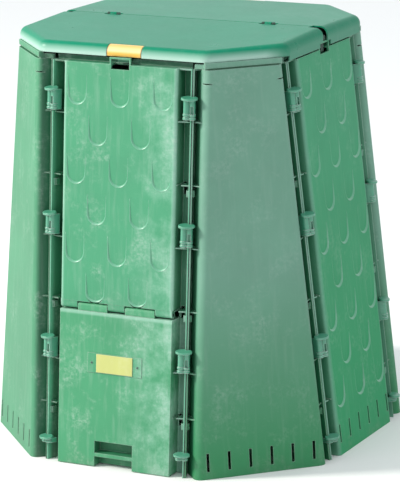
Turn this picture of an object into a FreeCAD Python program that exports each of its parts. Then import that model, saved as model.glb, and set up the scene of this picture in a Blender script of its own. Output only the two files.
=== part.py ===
import FreeCAD, Part
import math
import os
import Sketcher

# Eight-sided compost bin with a two-part hinged lid and an emptying flap.
# Origin: middle of the footprint at ground level. +Z is up, the flap faces -Y.

doc = FreeCAD.newDocument("compost_bin")
sheet = doc.addObject("Spreadsheet::Sheet", "sizes")

# Driving dimensions in millimetres, one spreadsheet cell each
DIMENSIONS = (
    # eight-sided body, measured at the ridges where two panels meet
    ("wall_height", 1000),
    ("ridge_base", 464.5),
    ("ridge_top", 362.5),
    ("ridge_half", 194),
    ("skin", 4),
    ("face_skin", 6),
    ("side_proud", 9.5),
    ("corner_proud", 33),
    ("side_face_half", 157),
    ("corner_inset", 20),
    ("side_round", 8),
    ("corner_round", 20),
    # channel and flanges of each seam
    ("channel_deep", 34),
    ("flange_skin", 3.5),
    ("flange_gap", 2),
    ("rib_skin", 3),
    ("rib_below", 5),
    ("rib_first", 147),
    ("rib_second", 260),
    ("rib_third", 411),
    ("rib_fourth", 566),
    ("rib_fifth", 719),
    ("rib_sixth", 873),
    ("catch_first", 118),
    ("catch_second", 385),
    ("catch_third", 690),
    ("catch_high", 16),
    ("catch_out", 6),
    ("catch_slot_wide", 9),
    ("catch_slot_high", 30),
    # ledge, neck and keeper loop at the top of each side wall
    ("neck_high", 12),
    ("neck_back", 25),
    ("loop_half", 29),
    ("loop_bar", 4),
    ("loop_high", 17),
    ("loop_post_skin", 5),
    ("window_low", 12),
    ("window_reach", 22),
    # band on top of each corner panel, which carries the lid
    ("groove_high", 3.5),
    ("groove_deep", 8),
    ("band_back", 4),
    ("band_skin", 12),
    ("band_high", 16.7),
    ("band_return", 5.5),
    ("band_return_run", 15),
    ("slit_level", 965),
    ("slit_high", 3),
    ("slit_reach", 20),
    # scale pattern of the side walls
    ("scale_wide", 52),
    ("scale_long", 78),
    ("scale_deep", 4),
    ("scale_step_x", 118.5),
    ("scale_step_up", 97.4),
    ("scale_top", 895.5),
    # air slots
    ("slot_wide", 7),
    ("slot_low", 19),
    ("slot_high", 65),
    ("slot_step", 55),
    ("wall_slot_step", 57),
    ("wall_slot_lift", 12),
    # emptying flap and its hinge
    ("flap_axis", 400),
    ("flap_axis_back", 10),
    ("knuckle_round", 8.5),
    ("flap_pin", 5),
    ("pin_play", 0.06),
    ("flap_gap", 1.5),
    ("flap_top_gap", 12),
    ("flap_bottom", 2),
    ("wall_tab", 46),
    ("wall_tab_out", 132),
    ("flap_tab", 82),
    ("flap_tab_out", 66),
    ("grip_half", 53),
    ("grip_top", 66),
    ("grip_bar_top", 36),
    ("grip_bar_low", 27),
    ("grip_deep", 29),
    ("grip_skin", 3),
    # plate on the flap
    ("plate_half", 50.5),
    ("plate_low", 239.5),
    ("plate_high", 285),
    ("plate_skin", 1.6),
    ("holder_half", 76),
    ("holder_skin", 1.2),
    ("rivet_round", 2.6),
    ("rivet_out", 64),
    ("rivet_head", 1.4),
    # lid
    ("lid_half_x", 376),
    ("lid_half_y", 362),
    ("lid_corner", 418),
    ("lid_low", 17),
    ("lid_skirt_low", 5),
    ("lid_skirt_end", 204),
    ("lid_high", 52),
    ("lid_fall", 8),
    ("lid_flat", 12),
    ("lid_skin", 4),
    ("lid_plan_round", 40),
    ("lid_edge_round", 21),
    ("lid_split", 4),
    ("lid_slot", 28),
    ("lid_slot_reach", 40),
    ("hinge_out", 220),
    ("hinge_knuckle", 8.7),
    ("hinge_play", 0.6),
    ("hinge_round", 4.5),
    ("hinge_pin", 2.5),
    ("notch_half", 23),
    ("notch_deep", 7),
    ("ear_notch", 14),
    ("ear_notch_deep", 11),
    # crossbar that carries the lid hinge
    ("bar_half", 10),
    ("bar_low", 12.3),
    ("bar_high", 26),
    ("bar_end", 10),
    ("knob_up", 26.5),
    ("knob_round", 6),
    ("knob_out", 6),
    ("ear_skin", 6),
    ("ear_out", 14),
    ("leg_reach", 9),
    ("leg_half", 8),
    ("leg_low", 10),
    # latch
    ("latch_half", 47.5),
    ("latch_shift", 5),
    ("latch_skin", 4),
    ("latch_play", 1),
    ("latch_low", 18),
    ("latch_axis_back", 13),
    ("latch_axis_up", 31),
    ("latch_top_flat", 2),
    ("latch_pin", 3),
    ("latch_boss", 6),
    ("cheek_skin", 6),
    ("latch_ear", 6),
    ("hook_half", 18),
    ("hook_skin", 3),
    ("hook_rise", 5),
    ("hook_low", 3.5),
    ("hook_nose", 1.5),
    ("hook_nose_high", 5),
    # clips that lock the seams
    ("clip_first", 57),
    ("clip_second", 312),
    ("clip_third", 620),
    ("clip_fourth", 928),
    ("clip_half", 14.5),
    ("clip_shift", 6.5),
    ("clip_lobe", 7.5),
    ("clip_front", 12),
    ("clip_back", 14),
    ("clip_tall", 50),
    ("clip_short", 12),
    ("clip_play", 0.3),
    ("clip_window_wide", 7),
    ("clip_window_high", 20),
    ("clip_window_down", 17),
    ("clip_window_deep", 6),
    ("tab_half", 20.5),
    ("tab_deep", 15),
    ("tab_skin", 5),
    ("tab_tilt", 12),
    ("ring_round", 3),
)

for row, (alias, value) in enumerate(DIMENSIONS, start=1):
    sheet.set("A%d" % row, alias)
    sheet.set("B%d" % row, str(value))
    sheet.setAlias("B%d" % row, alias)
doc.recompute()


class Size:
    """A length that knows its value and the spreadsheet expression for it."""

    def __init__(self, value, text):
        self.value = float(value)
        self.text = text

    def __add__(self, other):
        other = as_size(other)
        return Size(self.value + other.value, "(%s + %s)" % (self.text, other.text))

    def __sub__(self, other):
        other = as_size(other)
        return Size(self.value - other.value, "(%s - %s)" % (self.text, other.text))

    def __mul__(self, other):
        other = as_size(other)
        return Size(self.value * other.value, "(%s * %s)" % (self.text, other.text))

    def __truediv__(self, other):
        other = as_size(other)
        return Size(self.value / other.value, "(%s / %s)" % (self.text, other.text))

    def __radd__(self, other):
        return as_size(other) + self

    def __rsub__(self, other):
        return as_size(other) - self

    def __rmul__(self, other):
        return as_size(other) * self

    def __neg__(self):
        return Size(-self.value, "(0 - %s)" % self.text)

    def __float__(self):
        return self.value


def as_size(number):
    return number if isinstance(number, Size) else Size(number, "%.12g" % number)


def size(alias):
    """The named cell of the spreadsheet."""
    return Size(sheet.get(alias), "sizes." + alias)


def bind(thing, place, number):
    """Tie a property or a constraint to the spreadsheet."""
    thing.setExpression(place, as_size(number).text)


HEIGHT = size("wall_height")
SKIN = size("skin")
SLOPE = (size("ridge_base") - size("ridge_top")) / HEIGHT
HALF_ROOT = math.sqrt(0.5)
# the flanges stand on the line that halves the 45 degree corner of the octagon
SEAM_SIN = math.sin(math.radians(22.5))
SEAM_COS = math.cos(math.radians(22.5))


def ridge(height):
    """Distance of a side wall's ridge line from the middle, at a height."""
    return size("ridge_base") - SLOPE * height


def side_face(height):
    """Distance of a side wall's outer face from the middle, at a height."""
    return ridge(height) + size("side_proud")


def corner_ridge(height):
    """Half width and distance of a corner panel's ridge line, at a height."""
    half = (ridge(height) - size("ridge_half")) * HALF_ROOT
    return half, (ridge(height) + size("ridge_half")) * HALF_ROOT


def corner_face(height):
    return corner_ridge(height)[1] + size("corner_proud")


# Sketch helpers: every point and radius is a dimension tied to the spreadsheet


def pin_point(sketch, line, end, across, along):
    """Fix one end of a line at a place measured from the sketch's origin."""
    for kind, axis, number in (("DistanceX", -2, across), ("DistanceY", -1, along)):
        number = as_size(number)
        if abs(number.value) < 1e-9:
            sketch.addConstraint(Sketcher.Constraint("PointOnObject", line, end, axis))
            continue
        if number.value > 0:
            rule = Sketcher.Constraint(kind, -1, 1, line, end, number.value)
        else:
            number = -number
            rule = Sketcher.Constraint(kind, line, end, -1, 1, number.value)
        bind(sketch, "Constraints[%d]" % sketch.addConstraint(rule), number)


def add_polygon(sketch, points):
    """A closed outline through (across, along) points."""
    places = [FreeCAD.Vector(float(a), float(b), 0) for a, b in points]
    first = sketch.GeometryCount
    count = len(places)
    for i in range(count):
        sketch.addGeometry(Part.LineSegment(places[i], places[(i + 1) % count]), False)
    for i in range(count):
        after = first + (i + 1) % count
        sketch.addConstraint(Sketcher.Constraint("Coincident", first + i, 2, after, 1))
    for i, (across, along) in enumerate(points):
        pin_point(sketch, first + i, 1, across, along)


def add_rounded(sketch, points, rounds):
    """A closed outline whose corners named in rounds are arcs of the given radius.

    The two lines that meet at a rounded corner run along the sketch's axes.
    """
    count = len(points)
    places = [(float(a), float(b)) for a, b in points]
    starts, stops, arcs = {}, {}, {}
    for i, radius in rounds.items():
        x, y = places[i]
        before = places[i - 1]
        after = places[(i + 1) % count]
        r = float(radius)
        across = 1 if before[0] + after[0] > 2 * x else -1
        along = 1 if before[1] + after[1] > 2 * y else -1
        centre = (points[i][0] + radius * across, points[i][1] + radius * along)
        cx, cy = float(centre[0]), float(centre[1])
        level = abs(before[1] - y) < abs(before[0] - x)
        first = (cx, cy - along * r) if level else (cx - across * r, cy)
        last = (cx - across * r, cy) if level else (cx, cy - along * r)
        stops[i], starts[i] = first, last
        left_turn = (first[0] - cx) * (last[1] - cy) > (first[1] - cy) * (last[0] - cx)
        ends = (first, last) if left_turn else (last, first)
        angles = [math.atan2(end[1] - cy, end[0] - cx) for end in ends]
        if angles[1] < angles[0]:
            angles[1] += 2 * math.pi
        ring = Part.Circle(FreeCAD.Vector(cx, cy, 0), FreeCAD.Vector(0, 0, 1), r)
        arc = sketch.addGeometry(Part.ArcOfCircle(ring, *angles), False)
        arcs[i] = (arc, left_turn, centre)
    lines = []
    for i in range(count):
        start = starts.get(i, places[i])
        stop = stops.get((i + 1) % count, places[(i + 1) % count])
        line = Part.LineSegment(FreeCAD.Vector(*start, 0), FreeCAD.Vector(*stop, 0))
        lines.append(sketch.addGeometry(line, False))
    for i in range(count):
        if i not in arcs:
            joint = Sketcher.Constraint("Coincident", lines[i - 1], 2, lines[i], 1)
            sketch.addConstraint(joint)
            pin_point(sketch, lines[i], 1, *points[i])
            continue
        arc, left_turn, centre = arcs[i]
        near, far = (1, 2) if left_turn else (2, 1)
        sketch.addConstraint(Sketcher.Constraint("Tangent", lines[i - 1], 2, arc, near))
        sketch.addConstraint(Sketcher.Constraint("Tangent", arc, far, lines[i], 1))
        rule = Sketcher.Constraint("Radius", arc, float(rounds[i]))
        bind(sketch, "Constraints[%d]" % sketch.addConstraint(rule), rounds[i])
        pin_point(sketch, arc, 3, *centre)


def add_circle(sketch, across, along, radius):
    centre = FreeCAD.Vector(float(across), float(along), 0)
    ring = Part.Circle(centre, FreeCAD.Vector(0, 0, 1), float(radius))
    line = sketch.addGeometry(ring, False)
    rule = sketch.addConstraint(Sketcher.Constraint("Radius", line, float(radius)))
    bind(sketch, "Constraints[%d]" % rule, radius)
    pin_point(sketch, line, 3, across, along)


def add_tongue(sketch, across, along, radius, reach):
    """A half circle about a centre with two straight sides that reach up or down."""
    x, y, r = float(across), float(along), float(radius)
    end = float(along + reach)
    turn = 1 if float(reach) > 0 else -1
    centre = FreeCAD.Vector(x, y, 0)
    circle = Part.Circle(centre, FreeCAD.Vector(0, 0, 1), r)
    start, stop = (math.pi, 2 * math.pi) if turn > 0 else (0, math.pi)
    arc = sketch.addGeometry(Part.ArcOfCircle(circle, start, stop), False)
    near, far = x + turn * r, x - turn * r
    up = Part.LineSegment(FreeCAD.Vector(near, y, 0), FreeCAD.Vector(near, end, 0))
    top = Part.LineSegment(FreeCAD.Vector(near, end, 0), FreeCAD.Vector(far, end, 0))
    down = Part.LineSegment(FreeCAD.Vector(far, end, 0), FreeCAD.Vector(far, y, 0))
    first, second, third = (sketch.addGeometry(line, False) for line in (up, top, down))
    sketch.addConstraint(Sketcher.Constraint("Tangent", arc, 2, first, 1))
    sketch.addConstraint(Sketcher.Constraint("Coincident", first, 2, second, 1))
    sketch.addConstraint(Sketcher.Constraint("Coincident", second, 2, third, 1))
    sketch.addConstraint(Sketcher.Constraint("Tangent", third, 2, arc, 1))
    sketch.addConstraint(Sketcher.Constraint("Vertical", first))
    sketch.addConstraint(Sketcher.Constraint("Horizontal", second))
    rule = sketch.addConstraint(Sketcher.Constraint("Radius", arc, r))
    bind(sketch, "Constraints[%d]" % rule, radius)
    pin_point(sketch, arc, 3, across, along)
    if turn > 0:
        rule = Sketcher.Constraint("DistanceY", first, 1, first, 2, end - y)
    else:
        rule = Sketcher.Constraint("DistanceY", first, 2, first, 1, y - end)
    bind(sketch, "Constraints[%d]" % sketch.addConstraint(rule), reach * turn)


def rectangle(x_low, x_high, y_low, y_high):
    return [(x_low, y_low), (x_high, y_low), (x_high, y_high), (x_low, y_high)]


def new_body(label):
    body = doc.addObject("PartDesign::Body", label)
    body.Label = label
    return body


def new_sketch(body, name, role="XY_Plane", lift=0):
    """A sketch on one of the body's own planes, moved along that plane's normal."""
    sketch = body.newObject("Sketcher::SketchObject", name)
    planes = [plane for plane in body.Origin.OriginFeatures if plane.Role == role]
    sketch.AttachmentSupport = [(planes[0], "")]
    sketch.MapMode = "FlatFace"
    bind(sketch, "AttachmentOffset.Base.z", lift)
    return sketch


def finish_feature(body, feature, adds):
    """Compute a feature and make sure that it added or took material."""
    before = body.Shape.Volume if not body.Shape.isNull() else 0.0
    body.Tip = feature
    doc.recompute()
    grown = body.Shape.Volume - before
    if (grown <= 0) == adds:
        raise RuntimeError("%s changed the volume by %.1f" % (feature.Label, grown))
    return feature


def with_profile(feature, sketch):
    feature.Profile = sketch
    return feature


def loft(body, name, low, high, outlines, adds=True):
    """A straight-sided form between two heights; outlines(height) gives its outlines."""
    kind = "PartDesign::AdditiveLoft" if adds else "PartDesign::SubtractiveLoft"
    ends = []
    for tag, height in (("low", low), ("high", high)):
        sketch = new_sketch(body, "%s_%s" % (name, tag), "XY_Plane", height)
        for points, rounds in outlines(height):
            add_rounded(sketch, points, rounds)
        ends.append(sketch)
    doc.recompute()
    feature = with_profile(body.newObject(kind, name), ends[0])
    feature.Sections = [ends[1]]
    feature.Ruled = True
    return finish_feature(body, feature, adds)


def pad(body, sketch, name, length, back=False, middle=False):
    feature = with_profile(body.newObject("PartDesign::Pad", name), sketch)
    bind(feature, "Length", length)
    feature.Reversed = back
    feature.Midplane = middle
    return finish_feature(body, feature, True)


def pocket(body, sketch, name, length, back=False, middle=False):
    feature = with_profile(body.newObject("PartDesign::Pocket", name), sketch)
    bind(feature, "Length", length)
    feature.Reversed = back
    feature.Midplane = middle
    return finish_feature(body, feature, False)


def fillet(body, name, radius, wanted):
    """Round every edge of the body that wanted(edge) picks."""
    tip = body.Tip
    names = [
        "Edge%d" % number
        for number, edge in enumerate(tip.Shape.Edges, start=1)
        if wanted(edge)
    ]
    feature = body.newObject("PartDesign::Fillet", name)
    feature.Base = (tip, names)
    bind(feature, "Radius", radius)
    body.Tip = feature
    doc.recompute()
    return feature


def turn(body, degrees):
    """Turn a piece about the bin's upright axis."""
    place = FreeCAD.Rotation(FreeCAD.Vector(0, 0, 1), degrees)
    body.Placement = FreeCAD.Placement(FreeCAD.Vector(0, 0, 0), place)


def turned_copy(label, master, degrees):
    """The same moulding again, turned about the bin's upright axis."""
    copy = doc.addObject("Part::Compound", label)
    copy.Label = label
    copy.Links = [master]
    turn(copy, degrees)
    return copy


def both_sides(points):
    """Points given for +x, continued with their mirror images in reverse order."""
    return points + [(-across, along) for across, along in reversed(points)]


# Wall panels: one moulding bent into a hat, with a channel and a flange each side


def flange_points(half, out):
    """The four corners of the flange at +x: ridge and foot, near and far side."""
    near = size("flange_gap") / 2 + size("flange_skin")
    far = size("flange_gap") / 2
    floor = out - size("channel_deep")
    near_ridge = (half - near * SEAM_COS, out + near * SEAM_SIN)
    far_ridge = (half - far * SEAM_COS, out + far * SEAM_SIN)
    near_run = (near_ridge[1] - floor) * (SEAM_SIN / SEAM_COS)
    far_run = (far_ridge[1] - floor + SKIN) * (SEAM_SIN / SEAM_COS)
    near_foot = (near_ridge[0] - near_run, floor)
    far_foot = (far_ridge[0] - far_run, floor - SKIN)
    return near_foot, near_ridge, far_ridge, far_foot


def flange_at(half, out, below):
    """A point on the near side of the flange, some way below the ridge."""
    foot, top, _, _ = flange_points(half, out)
    share = (out - below - foot[1]) / (top[1] - foot[1])
    return (foot[0] + (top[0] - foot[0]) * share, out - below)


def outward(points):
    """Turn (across, outward) pairs into sketch points, with outward along -Y."""
    return [(across, -out) for across, out in points]


def hat_section(half, out, face_half, proud):
    """Outline of the moulding cut level: face, channel sides, floors and flanges."""
    near_foot, near_ridge, far_ridge, far_foot = flange_points(half, out)
    floor = out - size("channel_deep")
    outer = [
        (face_half, out + proud),
        (face_half, floor),
        near_foot,
        near_ridge,
        far_ridge,
        far_foot,
        (face_half - SKIN, floor - SKIN),
        (face_half - SKIN, out + proud - size("face_skin")),
    ]
    return outward(both_sides(outer))


def rib_section(half, out, face_half, rise):
    """The thin web across a channel, which rises from the flange to the face."""
    bite = SKIN / 4
    below = size("rib_below")
    floor = out - size("channel_deep")
    foot = flange_points(half, out)[0]
    lip = flange_at(half, out, below)
    web = [
        (face_half - bite, out + rise),
        (lip[0] + bite, lip[1]),
        (foot[0] + bite, floor - bite),
        (face_half - bite, floor - bite),
    ]
    return [outward(web), outward([(-across, along) for across, along in web])]


def catch_section(half, out):
    """A small lug on the near side of each flange, close to its ridge."""
    top = flange_at(half, out, size("rib_below"))
    low = flange_at(half, out, size("rib_below") + size("catch_out") * 2)
    bite = size("flange_skin") / 3
    reach = size("catch_out")
    lug = [
        (low[0] + bite, low[1]),
        (top[0] + bite, top[1]),
        (top[0] - reach, top[1]),
        (low[0] - reach, low[1]),
    ]
    return [outward(lug), outward([(-across, along) for across, along in lug])]


def panel_body(label, frame, face_half, proud, rounding):
    """Loft the moulding with its rounded face edges and add the ribs.

    frame(height) gives the half width and distance of the ridge line there.
    """
    body = new_body(label)

    # corners 0 and 7 of the right half are the face's outer and inner edge
    inner_round = rounding - SKIN
    rounds = {0: rounding, 7: inner_round, 8: inner_round, 15: rounding}

    def section(height):
        half, out = frame(height)
        return [(hat_section(half, out, face_half(height), proud), rounds)]

    loft(body, "moulding", as_size(0), HEIGHT, section)
    for name in ("first", "second", "third", "fourth", "fifth", "sixth"):
        height = size("rib_" + name)
        sketch = new_sketch(body, "rib_plan_" + name, "XY_Plane", height)
        half, out = frame(height)
        for points in rib_section(half, out, face_half(height), proud - rounding):
            add_polygon(sketch, points)
        doc.recompute()
        pad(body, sketch, "rib_" + name, size("rib_skin"), back=True)
    for name in ("first", "second", "third"):
        height = size("catch_" + name)
        sketch = new_sketch(body, "catch_plan_" + name, "XY_Plane", height)
        for points in catch_section(*frame(height)):
            add_polygon(sketch, points)
        doc.recompute()
        pad(body, sketch, "catch_" + name, size("catch_high"))
    return body


def cap_section(half, out, face_half, proud):
    """The plate that closes the moulding and its channels at the top."""
    foot = flange_points(half, out)[0]
    lip = flange_at(half, out, size("rib_below") / 5)
    plate = [
        (face_half - size("flange_gap"), out + proud - size("flange_gap") / 4),
        (face_half - size("flange_gap"), out - size("rib_below") / 5),
        (lip[0] + SKIN / 4, lip[1]),
        (foot[0] + SKIN / 4, foot[1] - SKIN / 4),
    ]
    return outward(both_sides(plate))


def air_slots(body, apart, lift, count_half=3):
    """A row of upright slots low in the face, spaced evenly about the middle."""
    sketch = new_sketch(body, "slot_plan", "XZ_Plane")
    half = size("slot_wide") / 2
    for step in range(-count_half, count_half):
        middle = apart * (step + 0.5)
        low, high = size("slot_low") + lift, size("slot_high") + lift
        corners = [(middle - half, low), (middle + half, low)]
        corners += [(middle + half, high), (middle - half, high)]
        add_polygon(sketch, corners)
    doc.recompute()
    pocket(body, sketch, "air_slots", size("ridge_base") * 2, back=True)


def scale_rows(body, rows):
    """Staggered rows of rounded scales, sunk at the lip and fading out above it."""
    radius = size("scale_wide") / 2
    reach = size("scale_long")
    fall = SLOPE * reach - size("scale_deep")
    for row in range(rows):
        lip = size("scale_top") - size("scale_step_up") * row
        sketch = new_sketch(body, "scale_plan_%d" % row, "XZ_Plane")
        bind(sketch, "AttachmentOffset.Base.y", lip)
        bind(sketch, "AttachmentOffset.Base.z", side_face(lip) - size("scale_deep"))
        sketch.AttachmentOffset = FreeCAD.Placement(
            FreeCAD.Vector(0, float(lip), float(side_face(lip) - size("scale_deep"))),
            FreeCAD.Rotation(FreeCAD.Vector(1, 0, 0), -5),
        )
        sketch.setExpression(
            "AttachmentOffset.Rotation.Angle",
            "atan(%s / %s)" % (fall.text, reach.text),
        )
        sketch.AttachmentOffset.Rotation.Axis = FreeCAD.Vector(-1, 0, 0)
        places = (-1, 0, 1) if row % 2 == 0 else (-0.5, 0.5)
        for place in places:
            add_tongue(sketch, size("scale_step_x") * place, radius, radius, reach)
        doc.recompute()
        pocket(body, sketch, "scales_%d" % row, size("scale_wide"), back=True)


def side_wall(label, degrees, rows, slots):
    """One of the four wide walls, with its ledge, neck and keeper loop."""
    def frame(height):
        return size("ridge_half"), ridge(height)

    half = size("side_face_half")
    body = panel_body(
        label, frame, lambda height: half, size("side_proud"), size("side_round")
    )
    out = ridge(HEIGHT)
    face = side_face(HEIGHT)
    foot = flange_points(size("ridge_half"), out)[0]
    plan = new_sketch(body, "ledge_plan", "XY_Plane", HEIGHT)
    add_polygon(plan, cap_section(size("ridge_half"), out, half, size("side_proud")))
    doc.recompute()
    pad(body, plan, "ledge", SKIN, back=True)
    neck = face - size("neck_back")
    plan = new_sketch(body, "neck_plan", "XY_Plane", HEIGHT)
    wing = size("ridge_half") - size("lid_skin") * 2
    strip = [(wing, neck), (wing, neck - SKIN)]
    add_polygon(plan, outward(both_sides(strip)))
    doc.recompute()
    pad(body, plan, "neck", size("neck_high"))
    plan = new_sketch(body, "loop_plan", "XY_Plane", HEIGHT)
    flush = face - size("flange_gap") / 4
    strip = [(size("loop_half"), flush), (size("loop_half"), flush - size("loop_post_skin"))]
    add_polygon(plan, outward(both_sides(strip)))
    doc.recompute()
    pad(body, plan, "loop", size("loop_high"))
    inside = size("loop_half") - size("loop_bar")
    floor = HEIGHT - size("window_low")
    plan = new_sketch(body, "window_plan", "XY_Plane", floor)
    strip = [(inside, face + size("side_proud")), (inside, face - size("window_reach"))]
    add_polygon(plan, outward(both_sides(strip)))
    doc.recompute()
    tall = size("window_low") + size("loop_high") - size("loop_bar")
    pocket(body, plan, "window", tall, back=True)
    scale_rows(body, rows)
    # upright slots in the channel floors, where the neighbour's catches look through
    plan = new_sketch(body, "catch_slot_plan", "XZ_Plane")
    near = size("side_face_half") + SKIN / 2
    far = near + size("catch_slot_wide")
    for name in ("first", "second", "third"):
        low = size("catch_" + name)
        high = low + size("catch_slot_high")
        add_polygon(plan, rectangle(near, far, low, high))
        add_polygon(plan, rectangle(-far, -near, low, high))
    doc.recompute()
    pocket(body, plan, "catch_slots", size("ridge_base") * 2, back=True)
    if slots:
        air_slots(body, size("wall_slot_step"), size("wall_slot_lift"))
    turn(body, degrees)
    return body


def corner_panel(label, degrees):
    """One of the four tapered corner panels, with the band that carries the lid."""
    def face_half(height):
        return corner_ridge(height)[0] - size("corner_inset")

    body = panel_body(
        label, corner_ridge, face_half, size("corner_proud"), size("corner_round")
    )
    half, out = corner_ridge(HEIGHT)
    face = corner_face(HEIGHT)
    side = face_half(HEIGHT)
    round_off = size("corner_round") * (1 - HALF_ROOT)
    foot = flange_points(half, out)[0]
    lip = flange_at(half, out, size("rib_below") / 5)
    cap = [
        (side - size("corner_round"), face - size("flange_gap") / 4),
        (side - round_off, face - round_off - size("flange_gap") / 4),
        (side - size("flange_gap") / 4, face - size("corner_round")),
        (side - size("flange_gap") / 4, lip[1]),
        (lip[0] + SKIN / 4, lip[1]),
        (foot[0] + SKIN / 4, foot[1] - SKIN / 4),
    ]
    plan = new_sketch(body, "cap_plan", "XY_Plane", HEIGHT)
    add_polygon(plan, outward(both_sides(cap)))
    doc.recompute()
    pad(body, plan, "cap", SKIN, back=True)
    low = face - size("band_back") - size("band_skin")
    reach = side - size("flange_gap")
    for name, lift, high, front in (
        ("groove", HEIGHT, size("band_high"), face - size("groove_deep")),
        (
            "band",
            HEIGHT + size("groove_high"),
            size("band_high") - size("groove_high"),
            face - size("band_back"),
        ),
    ):
        plan = new_sketch(body, name + "_plan", "XY_Plane", lift)
        add_polygon(plan, outward(both_sides([(reach, front), (reach, low)])))
        doc.recompute()
        pad(body, plan, name, high)
    # the band turns back towards the necks of the two side walls
    back, run = low - size("band_return"), size("band_return_run")
    thick = SKIN * math.sqrt(2)
    bend = [
        (reach - run / 3, low + 1),
        (reach, low + 1),
        (reach, back),
        (reach + run, back - run),
        (reach + run, back - run - thick),
        (reach - run / 3, back - thick + run / 3),
    ]
    plan = new_sketch(body, "return_plan", "XY_Plane", HEIGHT)
    add_polygon(plan, outward(bend))
    add_polygon(plan, outward([(-across, along) for across, along in bend]))
    doc.recompute()
    pad(body, plan, "returns", size("neck_high"))
    # short level slits across the rounded edges, near the top
    level = size("slit_level")
    plan = new_sketch(body, "slit_plan", "XY_Plane", level)
    side, face = face_half(level), corner_face(level)
    near, past = size("slit_reach"), size("rib_below")
    cut = [(side - near - past, face + past), (side + past, face - near - past)]
    cut += [(side + past, face + past)]
    add_polygon(plan, outward(cut))
    add_polygon(plan, outward([(-across, along) for across, along in cut]))
    doc.recompute()
    pocket(body, plan, "slits", size("slit_high"), back=True)
    air_slots(body, size("slot_step"), as_size(0))
    turn(body, degrees)
    return body


def slab(body, name, low, high, half, inner, outer, adds=True):
    """A block that leans with the side wall, given its distances at each height."""
    def section(height):
        block = both_sides([(half, outer(height)), (half, inner(height))])
        return [(outward(block), {})]

    return loft(body, name, low, high, section, adds)


# Side walls, the front one open below for the flap
rear_wall = side_wall("rear_wall", 180, 9, True)
turned_copy("right_wall", rear_wall, -90)
turned_copy("left_wall", rear_wall, 90)
front_wall = side_wall("front_wall", 0, 6, False)

AXIS = size("flap_axis")
AXIS_OUT = side_face(AXIS) - size("flap_axis_back")
FLAP_TOP = AXIS - size("flap_top_gap")
WALL_EDGE = AXIS + size("flap_top_gap") - 1
DOOR_HALF = size("side_face_half") + 1


def floor_level(height):
    return ridge(height) - size("channel_deep")


def past_face(height):
    return side_face(height) + size("scale_wide")


slab(front_wall, "doorway", as_size(-1), WALL_EDGE, DOOR_HALF, floor_level, past_face, False)


def knuckles(body, name, places, width, reach):
    """Hinge tabs: a barrel about the flap's axis with a straight root."""
    for number, place in enumerate(places):
        start = place - width / 2
        plan = new_sketch(body, "%s_plan_%d" % (name, number), "YZ_Plane", start)
        add_tongue(plan, -AXIS_OUT, AXIS, size("knuckle_round"), reach)
        doc.recompute()
        pad(body, plan, "%s_%d" % (name, number), width)


def bore(body, name, across, along, radius, length):
    """A round hole along X through the middle of the piece."""
    plan = new_sketch(body, name + "_plan", "YZ_Plane")
    add_circle(plan, across, along, radius)
    doc.recompute()
    return pocket(body, plan, name, length, middle=True)


tab_out = size("wall_tab_out")
knuckles(
    front_wall,
    "wall_tab",
    (-tab_out, as_size(0), tab_out),
    size("wall_tab"),
    size("flap_top_gap") + 2,
)
bore(
    front_wall,
    "flap_pin_bore",
    -AXIS_OUT,
    AXIS,
    size("flap_pin") + size("pin_play"),
    size("side_face_half") * 2,
)

# Emptying flap: a tray with a hinge along its top and a grip at its foot
flap = new_body("emptying_flap")
FLAP_HALF = size("side_face_half") - size("flap_gap") + 1


def flap_section(height):
    inner = floor_level(height) + 0.3
    outer = side_face(height)
    tray = [
        (FLAP_HALF, outer),
        (FLAP_HALF, inner),
        (FLAP_HALF - SKIN, inner),
        (FLAP_HALF - SKIN, outer - size("face_skin")),
    ]
    return [(outward(both_sides(tray)), {})]


def grip_back(height):
    return side_face(height) - size("grip_deep") - size("grip_skin")


def grip_front(height):
    return side_face(height) - size("grip_skin") / 2


def grip_floor(height):
    return side_face(height) - size("grip_deep")


def tray_floor(height):
    return floor_level(height) + 0.3


loft(flap, "tray", size("flap_bottom"), FLAP_TOP, flap_section)
slab(flap, "tray_top", FLAP_TOP - SKIN, FLAP_TOP, FLAP_HALF - 1, tray_floor, grip_front)
grip_half = size("grip_half")
grip_skin = size("grip_skin")
slab(
    flap,
    "grip_case",
    size("flap_bottom"),
    size("grip_top") + grip_skin,
    grip_half + grip_skin,
    grip_back,
    grip_front,
)
for name, low, high in (
    ("grip_hollow", size("grip_bar_top"), size("grip_top")),
    ("foot_hollow", size("flap_bottom") - 1, size("grip_bar_low")),
):
    slab(flap, name, low, high, grip_half, grip_floor, past_face, False)
knuckles(
    flap,
    "flap_tab",
    (-size("flap_tab_out"), size("flap_tab_out")),
    size("flap_tab"),
    -(size("flap_top_gap") + 2),
)
bore(
    flap,
    "flap_pin_bore",
    -AXIS_OUT,
    AXIS,
    size("flap_pin") + size("pin_play"),
    FLAP_HALF * 2,
)

flap_pin = doc.addObject("Part::Cylinder", "flap_hinge_pin")
flap_pin.Label = "flap_hinge_pin"
bind(flap_pin, "Radius", size("flap_pin"))
bind(flap_pin, "Height", (tab_out + size("wall_tab") / 2) * 2)
flap_pin.Placement.Rotation = FreeCAD.Rotation(FreeCAD.Vector(0, 1, 0), 90)
bind(flap_pin, "Placement.Base.x", -(tab_out + size("wall_tab") / 2))
bind(flap_pin, "Placement.Base.y", -AXIS_OUT)
bind(flap_pin, "Placement.Base.z", AXIS)

# Plate on the flap, its holder and two rivets
holder = new_body("plate_holder")
plate = new_body("name_plate")
HOLDER_SKIN = size("holder_skin")


def holder_front(height):
    return side_face(height) + HOLDER_SKIN


def plate_front(height):
    return side_face(height) + HOLDER_SKIN + size("plate_skin")


slab(
    holder,
    "sheet",
    size("plate_low") - 2,
    size("plate_high") + 2,
    size("holder_half"),
    side_face,
    holder_front,
)
slab(
    plate,
    "sheet",
    size("plate_low"),
    size("plate_high"),
    size("plate_half"),
    holder_front,
    plate_front,
)

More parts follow.
